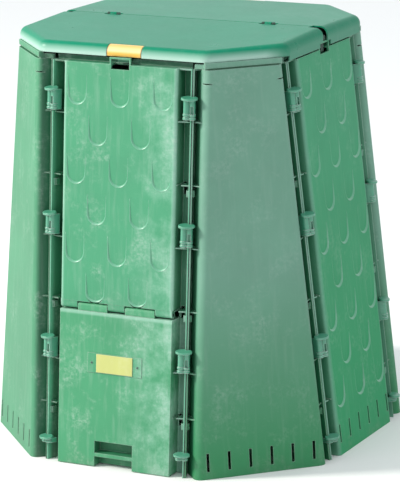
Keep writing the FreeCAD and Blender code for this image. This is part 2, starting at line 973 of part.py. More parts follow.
LEAN = math.degrees(math.atan(float(SLOPE)))
rivet_height = (size("plate_low") + size("plate_high")) / 2
rivets = []
for name, side in (("left_rivet", -1), ("right_rivet", 1)):
    rivet = doc.addObject("Part::Cylinder", name)
    bind(rivet, "Radius", size("rivet_round"))
    bind(rivet, "Height", size("rivet_head"))
    # the rivet's axis is square to the leaning face
    rivet.Placement.Rotation = FreeCAD.Rotation(FreeCAD.Vector(1, 0, 0), 90 - LEAN)
    bind(rivet, "Placement.Base.x", size("rivet_out") * side)
    bind(rivet, "Placement.Base.y", -holder_front(rivet_height))
    bind(rivet, "Placement.Base.z", rivet_height)
    rivets.append(rivet)
rivet_pair = doc.addObject("Part::Compound", "plate_rivets")
rivet_pair.Label = "plate_rivets"
rivet_pair.Links = rivets

# Corner panels
rear_corner = corner_panel("rear_right_corner", 135)
turned_copy("rear_left_corner", rear_corner, 90)
turned_copy("front_left_corner", rear_corner, 180)
turned_copy("front_right_corner", rear_corner, -90)

# Lid: two equal halves hinged over the middle of the bin
LID_LOW = HEIGHT + size("lid_low")
LID_TOP = HEIGHT + size("lid_high")
RIM_TOP = LID_TOP - size("lid_fall")


def octagon(inset):
    """The eight-sided outline of the lid, moved in by a wall's thickness."""
    across = size("lid_half_x") - inset
    along = size("lid_half_y") - inset
    corner = (size("lid_corner") - inset) * math.sqrt(2)
    right = [
        (corner - along, -along),
        (across, across - corner),
        (across, corner - across),
        (corner - along, along),
    ]
    return right + [(-x, y) for x, y in reversed(right)]


def upright(low):
    """Picks the straight upright edges that start at a height."""
    def wanted(edge):
        if len(edge.Vertexes) != 2:
            return False
        first, second = sorted(edge.Vertexes, key=lambda vertex: vertex.Z)
        level = math.hypot(first.X - second.X, first.Y - second.Y) < 0.001
        corner = abs(first.Y) > float(size("lid_flat")) + 1
        return level and corner and abs(first.Z - float(low)) < 0.001
    return wanted


def pitch(across, inset):
    """Height of the lid's top, which falls from the hinge towards both latches."""
    run = size("lid_half_y") - size("lid_flat")
    return LID_TOP - inset - size("lid_fall") * (across - size("lid_flat")) / run


def top_ring(inset):
    """Picks the edges all round the pitched top, and not the folds across it."""
    def wanted(edge):
        if len(edge.Vertexes) != 2:
            return False
        for vertex in edge.Vertexes:
            across = max(abs(vertex.Y), float(size("lid_flat")))
            if abs(vertex.Z - float(pitch(as_size(across), inset))) > 0.01:
                return False
        middle = edge.CenterOfMass
        fold = abs(middle.y) < float(size("lid_flat")) + 1 and edge.BoundBox.XLength > 1
        return not fold
    return wanted


def cap_block(body, inset, low):
    """A rounded octagonal block, the lid's outside or the hollow inside it."""
    top = LID_TOP - inset
    plan = new_sketch(body, "rim_plan", "XY_Plane", low)
    add_polygon(plan, octagon(inset))
    doc.recompute()
    pad(body, plan, "block", top - low)
    plan = new_sketch(body, "pitch_plan", "YZ_Plane")
    flat, far = size("lid_flat"), size("lid_half_y") + size("lid_flat")
    for side in (-1, 1):
        wedge = [(flat * side, top), (far * side, pitch(far, inset)), (far * side, top)]
        add_polygon(plan, wedge)
    doc.recompute()
    pocket(body, plan, "pitch", size("lid_half_x") * 4, middle=True)
    fillet(body, "plan_round", size("lid_plan_round") - inset, upright(low))
    fillet(body, "edge_round", size("lid_edge_round") - inset, top_ring(inset))


def lid_half(label, degrees):
    """Half of the lid: a shallow rounded cap, cut along the hinge."""
    body = new_body(label)
    cap_block(body, as_size(0), LID_LOW)
    core = new_body(label + "_core")
    cap_block(core, size("lid_skin"), LID_LOW - 1)
    hollow = body.newObject("PartDesign::Boolean", "hollow")
    hollow.Type = 1
    hollow.Group = [core]
    finish_feature(body, hollow, False)
    wide = size("lid_half_x") * 2
    plan = new_sketch(body, "split_plan", "XY_Plane", LID_LOW - 1)
    edge = size("lid_split") / 2
    add_polygon(plan, rectangle(-wide, wide, -edge, wide))
    doc.recompute()
    pocket(body, plan, "split", size("lid_high"), back=True)
    # the rim reaches lower at the sides, apart from where it passes the keeper loops
    plan = new_sketch(body, "skirt_plan", "XY_Plane", HEIGHT + size("lid_skirt_low"))
    outer = size("lid_half_x")
    inner, past = outer - size("lid_skin"), -(size("loop_half") + 2)
    add_polygon(plan, rectangle(inner, outer, -size("lid_skirt_end"), past))
    add_polygon(plan, rectangle(-outer, -inner, -size("lid_skirt_end"), past))
    doc.recompute()
    pad(body, plan, "skirts", size("lid_low") - size("lid_skirt_low") + 2)
    # notches beside the hinge knuckles, and slots for the ends of the crossbar
    plan = new_sketch(body, "notch_plan", "XY_Plane", LID_LOW - 1)
    notch, deep = size("notch_half"), size("notch_deep")
    for side in (-1, 1):
        middle = size("hinge_out") * side
        add_polygon(plan, rectangle(middle - notch, middle + notch, -deep, deep))
    doc.recompute()
    pocket(body, plan, "notches", size("lid_high"), back=True)
    plan = new_sketch(body, "ear_notch_plan", "XY_Plane", LID_LOW - 1)
    half, reach = size("ear_notch") / 2, size("ear_notch_deep")
    for group in (-1, 1):
        for side in (-1, 1):
            middle = size("hinge_out") * group + (notch - half) * side
            low, high = middle - half, middle + half
            add_polygon(plan, rectangle(low, high, -reach, reach))
    doc.recompute()
    pocket(body, plan, "ear_notches", size("lid_high"), back=True)
    plan = new_sketch(body, "slot_plan", "XY_Plane", LID_LOW - 1)
    slot = size("lid_slot") / 2
    inner = size("lid_half_x") - size("lid_slot_reach")
    outer = size("lid_half_x") + 10
    add_polygon(plan, rectangle(inner, outer, -slot, slot))
    add_polygon(plan, rectangle(-outer, -inner, -slot, slot))
    doc.recompute()
    pocket(body, plan, "bar_slots", size("lid_high"), back=True)
    # opening for the latch in the front edge
    plan = new_sketch(body, "latch_plan", "XY_Plane", LID_LOW - 1)
    reach = size("latch_half") + size("latch_play")
    shift = size("latch_shift")
    front = -size("lid_half_y")
    back = front + size("lid_edge_round") + size("latch_top_flat") + size("latch_play")
    add_polygon(plan, rectangle(shift - reach, shift + reach, front - 10, back))
    doc.recompute()
    pocket(body, plan, "latch_opening", size("lid_high"), back=True)
    # ears that carry the latch pin
    axis_y = front + size("latch_axis_back")
    axis_z = HEIGHT + size("latch_axis_up")
    boss = size("latch_boss")
    for name, start in (
        ("ear_left", shift - reach - size("latch_ear")),
        ("ear_right", shift + reach),
    ):
        plan = new_sketch(body, name + "_plan", "YZ_Plane", start)
        rise = RIM_TOP - axis_z - size("lid_skin") * 2
        add_tongue(plan, axis_y, axis_z, boss, rise)
        doc.recompute()
        pad(body, plan, name, size("latch_ear"))
    pin_room = size("latch_pin") + size("pin_play")
    plan = new_sketch(body, "latch_bore_plan", "YZ_Plane", shift - reach - size("latch_ear"))
    add_circle(plan, axis_y, axis_z, pin_room)
    doc.recompute()
    pocket(body, plan, "latch_bore", (reach + size("latch_ear")) * 2, back=True)
    # hinge knuckles, one beside each notch's middle
    play = size("hinge_play") / 2
    knuckle = size("hinge_knuckle")
    for name, start in (
        ("knuckle_right", size("hinge_out") - play - knuckle),
        ("knuckle_left", -size("hinge_out") - play - knuckle),
    ):
        plan = new_sketch(body, name + "_plan", "YZ_Plane", start)
        round_size = size("hinge_round")
        top, low = LID_TOP, LID_TOP - size("lid_skin")
        far = -(deep + size("lid_skin"))
        add_knuckle(plan, top, low, far, round_size)
        doc.recompute()
        pad(body, plan, name, knuckle)
    plan = new_sketch(body, "hinge_bore_plan", "YZ_Plane")
    add_circle(plan, as_size(0), LID_TOP, size("hinge_pin") + size("pin_play"))
    doc.recompute()
    pocket(body, plan, "hinge_bore", (size("hinge_out") + notch) * 2, middle=True)
    turn(body, degrees)
    return body


def add_knuckle(sketch, top, low, far, radius):
    """Barrel about the hinge axis with a flat tongue back to the lid."""
    r = float(radius)
    drop = float(top - low)
    angle = math.asin(drop / r)
    reach = math.sqrt(r * r - drop * drop)
    centre = FreeCAD.Vector(0, float(top), 0)
    circle = Part.Circle(centre, FreeCAD.Vector(0, 0, 1), r)
    arc = Part.ArcOfCircle(circle, math.pi + angle, 3 * math.pi)
    line = sketch.addGeometry(arc, False)
    places = [
        FreeCAD.Vector(-r, float(top), 0),
        FreeCAD.Vector(float(far), float(top), 0),
        FreeCAD.Vector(float(far), float(low), 0),
        FreeCAD.Vector(-reach, float(low), 0),
    ]
    ids = [
        sketch.addGeometry(Part.LineSegment(places[i], places[i + 1]), False)
        for i in range(3)
    ]
    sketch.addConstraint(Sketcher.Constraint("Coincident", line, 2, ids[0], 1))
    sketch.addConstraint(Sketcher.Constraint("Coincident", ids[0], 2, ids[1], 1))
    sketch.addConstraint(Sketcher.Constraint("Coincident", ids[1], 2, ids[2], 1))
    sketch.addConstraint(Sketcher.Constraint("Coincident", ids[2], 2, line, 1))
    sketch.addConstraint(Sketcher.Constraint("Horizontal", ids[0]))
    sketch.addConstraint(Sketcher.Constraint("Horizontal", ids[2]))
    rule = sketch.addConstraint(Sketcher.Constraint("Radius", line, r))
    bind(sketch, "Constraints[%d]" % rule, radius)
    pin_point(sketch, line, 3, as_size(0), top)
    pin_point(sketch, ids[1], 1, far, top)
    pin_point(sketch, ids[1], 2, far, low)


front_lid = lid_half("front_lid", 0)
rear_lid = turned_copy("rear_lid", front_lid, 180)


def latch(label, degrees):
    """Curved latch that fills the lid's opening, with a hook below its middle."""
    body = new_body(label)
    shift = size("latch_shift")
    half = size("latch_half")
    skin = size("latch_skin")
    front = -size("lid_half_y")
    axis_y = front + size("latch_axis_back")
    axis_z = HEIGHT + size("latch_axis_up")
    bend = size("lid_edge_round")
    plan = new_sketch(body, "shell_plan", "YZ_Plane", shift - half)
    foot = HEIGHT + size("latch_low")
    flat = front + bend + size("latch_top_flat")
    strip = [
        (front, foot),
        (front, RIM_TOP),
        (flat, RIM_TOP),
        (flat, RIM_TOP - skin),
        (front + skin, RIM_TOP - skin),
        (front + skin, foot),
    ]
    add_rounded(plan, strip, {1: bend, 4: bend - skin})
    doc.recompute()
    pad(body, plan, "shell", half * 2)
    boss = size("latch_boss")
    cheek = size("cheek_skin")
    for name, start in (("cheek_left", shift - half), ("cheek_right", shift + half - cheek)):
        plan = new_sketch(body, name + "_plan", "YZ_Plane", start)
        block = [
            (front + skin / 2, axis_z - boss),
            (axis_y + boss, axis_z - boss),
            (axis_y + boss, axis_z + boss),
            (front + skin / 2, axis_z),
        ]
        add_polygon(plan, block)
        doc.recompute()
        pad(body, plan, name, cheek)
    plan = new_sketch(body, "pin_bore_plan", "YZ_Plane", shift - half)
    add_circle(plan, axis_y, axis_z, size("latch_pin") + size("pin_play"))
    doc.recompute()
    pocket(body, plan, "pin_bore", half * 2, back=True)
    turn(body, degrees)
    return body


def latch_hook(label):
    """The hook behind the latch, which reaches down inside the keeper loop."""
    body = new_body(label)
    start = size("latch_shift") - size("hook_half")
    plan = new_sketch(body, "hook_plan", "YZ_Plane", start)
    low = HEIGHT + size("hook_low")
    top = HEIGHT + size("latch_low") + size("hook_rise")
    near = size("latch_skin") - size("lid_half_y")
    nose = size("hook_nose")
    hook = [
        (near, top),
        (near, low + size("hook_nose_high")),
        (near - nose, low + nose),
        (near - nose, low),
        (near + size("hook_skin"), low),
        (near + size("hook_skin"), top),
    ]
    add_polygon(plan, hook)
    doc.recompute()
    pad(body, plan, "hook", size("hook_half") * 2)
    return body


front_hook = latch_hook("front_latch_hook")
turned_copy("rear_latch_hook", front_hook, 180)
front_latch = latch("front_latch", 0)
rear_latch = turned_copy("rear_latch", front_latch, 180)

# Pins of the latches and of the lid hinge
LATCH_REACH = size("latch_half") + size("latch_play") + size("latch_ear")
for label, side in (("front_latch_pin", 1), ("rear_latch_pin", -1)):
    pin = doc.addObject("Part::Cylinder", label)
    pin.Label = label
    bind(pin, "Radius", size("latch_pin"))
    bind(pin, "Height", LATCH_REACH * 2)
    pin.Placement.Rotation = FreeCAD.Rotation(FreeCAD.Vector(0, 1, 0), 90)
    bind(pin, "Placement.Base.x", size("latch_shift") * side - LATCH_REACH)
    bind(pin, "Placement.Base.y", (size("latch_axis_back") - size("lid_half_y")) * side)
    bind(pin, "Placement.Base.z", HEIGHT + size("latch_axis_up"))

EAR_REACH = size("ear_out") + size("ear_skin") / 2
for label, side in (("left_hinge_pin", -1), ("right_hinge_pin", 1)):
    pin = doc.addObject("Part::Cylinder", label)
    pin.Label = label
    bind(pin, "Radius", size("hinge_pin"))
    bind(pin, "Height", EAR_REACH * 2)
    pin.Placement.Rotation = FreeCAD.Rotation(FreeCAD.Vector(0, 1, 0), 90)
    bind(pin, "Placement.Base.x", size("hinge_out") * side - EAR_REACH)
    bind(pin, "Placement.Base.z", LID_TOP)

# Crossbar: rests on the necks of the left and right walls and carries the hinge
crossbar = new_body("lid_crossbar")
BAR_END = size("lid_half_x") - size("bar_end")
plan = new_sketch(crossbar, "beam_plan", "XY_Plane", HEIGHT + size("bar_low"))
bar_half = size("bar_half")
add_polygon(plan, rectangle(-BAR_END, BAR_END, -bar_half, bar_half))
doc.recompute()
pad(crossbar, plan, "beam", size("bar_high") - size("bar_low"))
plan = new_sketch(crossbar, "leg_plan", "XY_Plane", HEIGHT + size("bar_low") + 1)
leg_out = side_face(HEIGHT) - size("loop_post_skin") - 1
leg_half = size("leg_half")
leg_in = leg_out - size("leg_reach")
add_polygon(plan, rectangle(leg_in, leg_out, -leg_half, leg_half))
add_polygon(plan, rectangle(-leg_out, -leg_in, -leg_half, leg_half))
doc.recompute()
pad(crossbar, plan, "legs", size("bar_low") + size("leg_low") + 1, back=True)
plan = new_sketch(crossbar, "knob_plan", "YZ_Plane")
add_circle(plan, as_size(0), HEIGHT + size("knob_up"), size("knob_round"))
doc.recompute()
pad(crossbar, plan, "knobs", BAR_END * 2 + size("knob_out") * 2, middle=True)
ear_half = size("hinge_round")
for group in (-1, 1):
    for side in (-1, 1):
        start = size("hinge_out") * group + size("ear_out") * side - size("ear_skin") / 2
        name = "ear_%d_%d" % (group + 1, side + 1)
        plan = new_sketch(crossbar, name + "_plan", "YZ_Plane", start)
        rise = size("lid_high") - size("bar_high") + 1
        add_tongue(plan, as_size(0), LID_TOP, ear_half - 0.5, -rise)
        doc.recompute()
        pad(crossbar, plan, name, size("ear_skin"))
plan = new_sketch(crossbar, "pin_bore_plan", "YZ_Plane")
add_circle(plan, as_size(0), LID_TOP, size("hinge_pin") + size("pin_play") / 3)
doc.recompute()
pocket(crossbar, plan, "pin_bore", (size("hinge_out") + EAR_REACH) * 2, middle=True)


# Clips: a thumb tab on a barrel that slides over the two flanges of a seam


def clip_shape(tall, side):
    """One clip with its slot, standing at the origin with outward along -Y.

    Its body sits towards the wide wall, which is at +X where side is 1.
    """
    half = float(size("clip_half"))
    lobe = float(size("clip_lobe"))
    shift = -float(size("clip_shift"))
    front = float(size("clip_front"))
    back = float(size("clip_back"))
    play = float(size("clip_play"))
    gap = float(size("flange_gap") / 2 + size("flange_skin")) + play
    tab_half = float(size("tab_half"))
    tab_deep = float(size("tab_deep"))
    tab_skin = float(size("tab_skin"))
    ring = float(size("ring_round"))
    begin = lobe - front
    corner = FreeCAD.Vector(shift - half, begin, -tall)
    clip = Part.makeBox(half * 2, back - begin, tall, corner)
    for hand in (-1, 1):
        stand = FreeCAD.Vector(shift + (half - lobe) * hand, begin, -tall)
        clip = clip.fuse(Part.makeCylinder(lobe, tall, stand))
        for rise in (ring / 2, ring * 3.5):
            if rise + ring * 1.5 < tall:
                bead = Part.makeCylinder(lobe + ring / 2, ring * 1.5, stand)
                bead.translate(FreeCAD.Vector(0, 0, rise))
                clip = clip.fuse(bead)
    oval = Part.Ellipse(FreeCAD.Vector(0, 0, 0), tab_half, tab_deep)
    head = Part.Face(Part.Wire(oval.toShape())).extrude(FreeCAD.Vector(0, 0, tab_skin))
    rims = [edge for edge in head.Edges if edge.BoundBox.ZMin > tab_skin - 0.01]
    head = head.makeFillet(tab_skin * 0.3, rims)
    middle = FreeCAD.Vector(0, 0, 0)
    head.rotate(middle, FreeCAD.Vector(1, 0, 0), float(size("tab_tilt")))
    head.translate(FreeCAD.Vector(shift, -front * 0.6, 0))
    corner = FreeCAD.Vector(-gap, -play, -tall - 1)
    slot = Part.makeBox(gap * 2, back + tab_deep, tall + tab_skin * 3, corner)
    clip = clip.fuse(head).cut(slot).removeSplitter()
    if side > 0:
        clip = clip.mirror(middle, FreeCAD.Vector(1, 0, 0))
    # a small window in the right hand barrel, seen from outside
    wide, high = float(size("clip_window_wide")), float(size("clip_window_high"))
    down, deep = float(size("clip_window_down")), float(size("clip_window_deep"))
    if down + high < tall:
        near = -shift * side + half - lobe - wide / 2
        corner = FreeCAD.Vector(near, -front - 1, -down - high)
        clip = clip.cut(Part.makeBox(wide, deep + 1, high, corner))
    return clip


CLIPS = {
    (name, side): clip_shape(float(size(name)), side)
    for name in ("clip_tall", "clip_short")
    for side in (-1, 1)
}


def seam_clips(label, degrees, mirrored):
    """The four clips of one seam, square to its ridge line."""
    lean = FreeCAD.Vector(0, float(SLOPE), 1)
    lean.normalize()
    side = -1 if mirrored else 1
    bisector = FreeCAD.Vector(SEAM_SIN * side, -SEAM_COS, 0)
    out = bisector - lean * bisector.dot(lean)
    out.normalize()
    inward = out * -1
    across = inward.cross(lean)
    basis = FreeCAD.Matrix(
        across.x, inward.x, lean.x, 0,
        across.y, inward.y, lean.y, 0,
        across.z, inward.z, lean.z, 0,
        0, 0, 0, 1,
    )
    solids = []
    for name in ("first", "second", "third", "fourth"):
        height = size("clip_" + name)
        kind = "clip_short" if name == "first" else "clip_tall"
        shape = CLIPS[kind, -side].copy()
        place = FreeCAD.Vector(
            float(size("ridge_half")) * side, -float(ridge(height)), float(height)
        )
        shape.transformShape(basis)
        shape.translate(place)
        solids.append(shape)
    group = doc.addObject("Part::Feature", label)
    group.Label = label
    group.Shape = Part.makeCompound(solids)
    turn(group, degrees)
    return group


for degrees, wall in ((0, "front"), (90, "right"), (180, "rear"), (270, "left")):
    seam_clips(wall + "_wall_clips_a", degrees, True)
    seam_clips(wall + "_wall_clips_b", degrees, False)

doc.recompute()

# Every sub-part has to be whole before anything is written
KINDS = ("PartDesign::Body", "Part::Cylinder", "Part::Compound", "Part::Feature")
NODES = [
    item
    for item in doc.Objects
    if item.TypeId in KINDS and item not in rivets and not item.Label.endswith("_core")
]
for item in doc.Objects:
    if "Invalid" in item.State or "Error" in item.State:
        raise RuntimeError("%s is %s" % (item.Label, item.State))
for node in NODES:
    if node.Shape.isNull() or not node.Shape.isValid():
        raise RuntimeError("%s has no sound shape" % node.Label)

os.makedirs("parts", exist_ok=True)
for node in NODES:
    node.Shape.exportStep(os.path.join("parts", node.Label + ".step"))
    print("%-22s %2d solids %10.1f cm3" % (
        node.Label, len(node.Shape.Solids), node.Shape.Volume / 1000))
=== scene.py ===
import math
from collections import namedtuple

import bpy
import numpy as np
from mathutils import Matrix, Vector


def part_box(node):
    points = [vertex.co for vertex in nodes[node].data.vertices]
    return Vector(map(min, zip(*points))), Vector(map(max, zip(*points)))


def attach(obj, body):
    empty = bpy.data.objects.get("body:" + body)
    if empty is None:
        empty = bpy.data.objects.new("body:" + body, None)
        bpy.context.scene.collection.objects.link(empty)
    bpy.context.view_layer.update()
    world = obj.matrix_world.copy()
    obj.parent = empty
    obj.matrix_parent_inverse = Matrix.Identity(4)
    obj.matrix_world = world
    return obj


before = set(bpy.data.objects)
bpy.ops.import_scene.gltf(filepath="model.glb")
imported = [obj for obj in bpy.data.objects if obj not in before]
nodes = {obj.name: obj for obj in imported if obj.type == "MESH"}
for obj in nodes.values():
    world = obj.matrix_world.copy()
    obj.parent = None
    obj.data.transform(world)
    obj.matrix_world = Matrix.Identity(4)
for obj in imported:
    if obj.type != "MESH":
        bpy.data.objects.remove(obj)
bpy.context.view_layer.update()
scene = bpy.context.scene

# Camera: where the photographer stood, to the front right and a little above the lid,
# with a long lens that keeps the bin's sides straight. Angles are in radians, lengths
# in metres, and the focal length in pixels of a frame that is 482 pixels high.

turn, rise, roll = 0.4819, 0.2469, -0.02482
distance, aim_height, aim_right, aim_down = 7.686, 0.5, 0.0104, 0.0272
focal_pixels, frame_pixels, film_side = 2990.0, 482.0, 36.0
farthest_seen = 60.0

toward_camera = Vector(
    (math.sin(turn) * math.cos(rise), -math.cos(turn) * math.cos(rise), math.sin(rise))
)
level = Vector((math.cos(turn), math.sin(turn), 0.0))
upright = toward_camera.cross(level)
camera_right = level * math.cos(roll) + upright * math.sin(roll)
camera_up = upright * math.cos(roll) - level * math.sin(roll)
aim = Vector((0.0, 0.0, aim_height)) + level * aim_right - upright * aim_down
eye = aim + toward_camera * distance
lens = bpy.data.cameras.new("camera")
lens.sensor_width = film_side
lens.lens = focal_pixels / frame_pixels * film_side
lens.clip_end = farthest_seen
camera = bpy.data.objects.new("camera", lens)
attitude = Matrix((camera_right, camera_up, toward_camera)).transposed().to_4x4()
camera.matrix_world = Matrix.Translation(eye) @ attitude
scene.collection.objects.link(camera)
scene.camera = camera

# Light: one warm panel high on the left, which leaves every face turned to the right
# in shade, under an almost white surround that keeps the channels readable.

panel_place, panel_target = Vector((-4.4, -2.9, 3.6)), Vector((0.0, 0.0, 0.5))
panel_side, panel_power, panel_tint = 0.7, 380.0, (1.0, 0.97, 0.9)
surround_strength, surround_tint = 1.05, (0.93, 0.97, 1.0, 1.0)

surround = bpy.data.worlds.new("surround")
surround.use_nodes = True
sky = surround.node_tree.nodes["Background"]
sky.inputs["Color"].default_value = surround_tint
sky.inputs["Strength"].default_value = surround_strength
scene.world = surround
scene.view_settings.view_transform = "Standard"
panel = bpy.data.lights.new("sun_panel", "AREA")
panel.size = panel_side
panel.energy = panel_power
panel.color = panel_tint
sun_panel = bpy.data.objects.new("sun_panel", panel)
sun_panel.location = panel_place
sun_panel.rotation_euler = (panel_target - panel_place).to_track_quat("-Z", "Y").to_euler()
scene.collection.objects.link(sun_panel)

# Wall panels: four wide walls with sunk scales, injection moulded from one recycled
# green plastic and clipped to the corners. Their rounded edges are paler as painted
# highlight, rain has streaked them, and the channels beside the flanges are a deep
# green as painted shade.


class Socket:
    """A shader socket: operators add Math nodes, and node() adds any other node."""

    def __init__(self, tree, out=None):
        self.tree = tree
        self.out = out

    def node(self, kind, settings=(), inputs=()):
        """Add a node: its settings first, then a link or a value for each input."""
        added = self.tree.nodes.new("ShaderNode" + kind)
        for setting, value in dict(settings).items():
            setattr(added, setting, value)
        for place, value in dict(inputs).items():
            if isinstance(value, Socket):
                value.feed(added.inputs[place])
            else:
                added.inputs[place].default_value = value
        return Socket(self.tree, added.outputs[0])

    def output(self, place):
        """Another output of the node that this socket is on."""
        return Socket(self.tree, self.out.node.outputs[place])

    def feed(self, target):
        """Link this socket to an input."""
        self.tree.links.new(self.out, target)

    def noise(self, scale, detail, roughness):
        """Noise over the places that this socket holds, with scale in cells per metre."""
        inputs = {"Vector": self, "Scale": scale, "Detail": detail, "Roughness": roughness}
        return self.node("TexNoise", inputs=inputs)

    def math(self, operation, *values):
        """A Math node on these links or numbers."""
        return self.node("Math", {"operation": operation}, enumerate(values))

    def __add__(self, other):
        return self.math("ADD", self, other)

    def __sub__(self, other):
        return self.math("SUBTRACT", self, other)

    def __rsub__(self, other):
        return self.math("SUBTRACT", other, self)

    def __mul__(self, other):
        return self.math("MULTIPLY", self, other)

    __radd__ = __add__
    __rmul__ = __mul__


def fade(value, span):
    """0 where the value is at the start of the span, 1 at its end, straight between."""
    start, full = span
    return value.node("MapRange", inputs={"Value": value, "From Min": start, "From Max": full})


def tinted(colour, share, tint):
    """A share of the tint laid over a colour; a plain colour is three numbers."""
    under, over, result = 6, 7, 2  # the colour sockets of a Mix node
    ends = [end if isinstance(end, Socket) else (*end, 1.0) for end in (colour, tint)]
    inputs = {"Factor": share, under: ends[0], over: ends[1]}
    return share.node("Mix", {"data_type": "RGBA"}, inputs).output(result)


Wash = namedtuple("Wash", "axis span tint share patchy both_sides", defaults=(False, False))


def moulded_plastic(
    name,
    green,
    washes=(),
    recess_shade=None,
    scuff=0.5,
    dirt=0.5,
    edge_wear_and_light=0.5,
    rough=0.46,
    shine=0.42,
    coat=0.0,
):
    """Dull moulded plastic: clouded colour, rain streaks, pale scuffs, worn edges.

    Large noise clouds the green, upright streaks of stretched noise wash it paler,
    speckles inside blotches of noise scuff it, and soil darkens the lowest 70 mm.
    Edges turn pale as wear and as painted highlight together.
    Grooves and flanks that ambient occlusion finds take the given channel colour,
    a painted shade. A wash is a tint that fades in over a span, two places in metres
    along an axis, or on both sides of the bin's middle; a patchy one is broken up by
    the blotches. Grain, specks and clouds dent the skin.
    """
    cloud_span, cloud_share = (0.36, 0.68), 0.4
    streak_stretch, streak_span, streak_share = (75.0, 75.0, 3.1), (0.5, 0.8), 0.22
    blotch_span, speck_span, scuff_share = (0.5, 0.7), (0.42, 0.62), 0.62
    patch_span = (0.4, 0.58)
    groove_depth, recess_shade_span, recess_shade_share = 0.06, (0.35, 0.85), 0.85
    edge_radius, worn_and_lit_span, worn_polish = 0.0022, (0.01, 0.16), 0.08
    soil_height, soil_span, soil_share, soil_brown = 0.07, (0.4, 0.6), 0.5, (0.11, 0.09, 0.05)
    bump_strength, bump_height, roughness_spread, coat_roughness = 0.18, 0.0006, 0.16, 0.3
    grain_height, speck_height, cloud_height = 0.5, 0.5, 2.0
    pale_share, pale_lift, deep_share = 0.45, 0.42, 0.68
    pale = tuple(pale_share * part + pale_lift for part in green)
    deep = tuple(deep_share * part for part in green)

    material = bpy.data.materials.new(name)
    material.use_nodes = True
    shader = material.node_tree.nodes["Principled BSDF"]
    begin = Socket(material.node_tree)
    spot = begin.node("TexCoord").output("Object")
    axes = begin.node("SeparateXYZ", inputs={"Vector": spot})
    stretched = begin.node("Mapping", inputs={"Vector": spot, "Scale": streak_stretch})
    cloud = spot.noise(4.3, 5.0, 0.6)
    streak = stretched.noise(1.0, 4.0, 0.6)
    blotch = spot.noise(11.0, 8.0, 0.72)
    speck = spot.noise(110.0, 4.0, 0.7)
    grain = spot.noise(900.0, 2.0, 0.6)
    soft = begin.node("Bevel", {"samples": 6}, {"Radius": edge_radius})
    facing = begin.node("NewGeometry").output("Normal")
    along = begin.node("VectorMath", {"operation": "DOT_PRODUCT"}, {0: soft, 1: facing})
    worn_and_lit_edge = fade(1.0 - along.output("Value"), worn_and_lit_span)

    colour = tinted(green, fade(cloud, cloud_span) * cloud_share, deep)
    for wash in washes:
        reach = axes.output(wash.axis)
        if wash.both_sides:
            reach = reach.math("ABSOLUTE", reach)
        spread = fade(reach, wash.span) * wash.share
        if wash.patchy:
            spread = spread * fade(blotch, patch_span)
        colour = tinted(colour, spread, wash.tint)
    colour = tinted(colour, fade(streak, streak_span) * (streak_share * scuff), pale)
    marks = fade(blotch, blotch_span) * fade(speck, speck_span)
    colour = tinted(colour, marks * (scuff_share * scuff), pale)
    # Painted shade: ambient occlusion darkens grooves and flanks to the channel colour.
    if recess_shade:
        rays = {"samples": 8, "only_local": True}
        openness = begin.node("AmbientOcclusion", rays, {"Distance": groove_depth})
        recess_shade_mask = 1.0 - fade(openness.output("AO"), recess_shade_span)
        colour = tinted(colour, recess_shade_mask * recess_shade_share, recess_shade)
    # Pale edges: wear and painted edge highlight together.
    colour = tinted(colour, worn_and_lit_edge * edge_wear_and_light, pale)
    soil = fade(axes.output("Z"), (soil_height, 0.0)) * fade(blotch, soil_span)
    colour = tinted(colour, soil * (soil_share * dirt), soil_brown)
    relief = grain * grain_height + speck * speck_height + cloud * cloud_height
    skin = {"Strength": bump_strength, "Distance": bump_height, "Height": relief, "Normal": soft}
    roughness = rough + blotch * roughness_spread - worn_and_lit_edge * worn_polish
    colour.feed(shader.inputs["Base Color"])
    roughness.feed(shader.inputs["Roughness"])
    begin.node("Bump", inputs=skin).feed(shader.inputs["Normal"])
    shader.inputs["Specular IOR Level"].default_value = shine
    shader.inputs["Coat Weight"].default_value = coat
    shader.inputs["Coat Roughness"].default_value = coat_roughness
    return material


def dress(material, *names):
    """Give the named CAD nodes one material."""
    for name in names:
        mesh = nodes[name].data
        mesh.materials.clear()
        mesh.materials.append(material)


wall_green = (0.05, 0.275, 0.14)
channel_shade_green = (0.016, 0.15, 0.066)
bleach_and_highlight_green = (0.3, 0.52, 0.41)
highlight_round_edge = (0.146, 0.153)

bleached_half = (0.02, 0.15)
right_flank, right_flank_sheen_grey = (0.157, 0.162), (0.12, 0.25, 0.19)
left_flank, left_flank_shade_green = (-0.157, -0.163), (0.012, 0.08, 0.035)
flange_tips, flange_highlight_green = (0.184, 0.188), (0.1, 0.4, 0.24)
wall_back, lid_shadow_green = (-0.358, -0.35), (0.012, 0.075, 0.042)
front_wall_plastic = moulded_plastic(
    "front wall plastic",
    wall_green,
    (
        Wash("X", bleached_half, bleach_and_highlight_green, 0.42, patchy=True),
        # Painted highlight: the rounded edges of the wall are paler.
        Wash("X", highlight_round_edge, bleach_and_highlight_green, 0.6, both_sides=True),
        # Painted sky sheen: the right flank of the front wall is greyed paler.
        Wash("X", right_flank, right_flank_sheen_grey, 0.8),
        # Painted shade: the left flank of the front wall is darkened.
        Wash("X", left_flank, left_flank_shade_green, 0.85),
        # Painted highlight: the flange tips are a brighter green.
        Wash("X", flange_tips, flange_highlight_green, 0.8, both_sides=True),
        # Painted shadow: the lid's shadow darkens the top strip of the front wall.
        Wash("Y", wall_back, lid_shadow_green, 0.8),
    ),
    channel_shade_green,
    scuff=0.7,
    dirt=0.2,
)
dress(front_wall_plastic, "front_wall")

left_wall_plastic = moulded_plastic(
    "wall plastic",
    wall_green,
    # Painted highlight: the rounded edges of the wall are paler.
    (Wash("Y", highlight_round_edge, bleach_and_highlight_green, 0.5, both_sides=True),),
    channel_shade_green,
    scuff=0.7,
    dirt=0.2,
)
dress(left_wall_plastic, "left_wall")

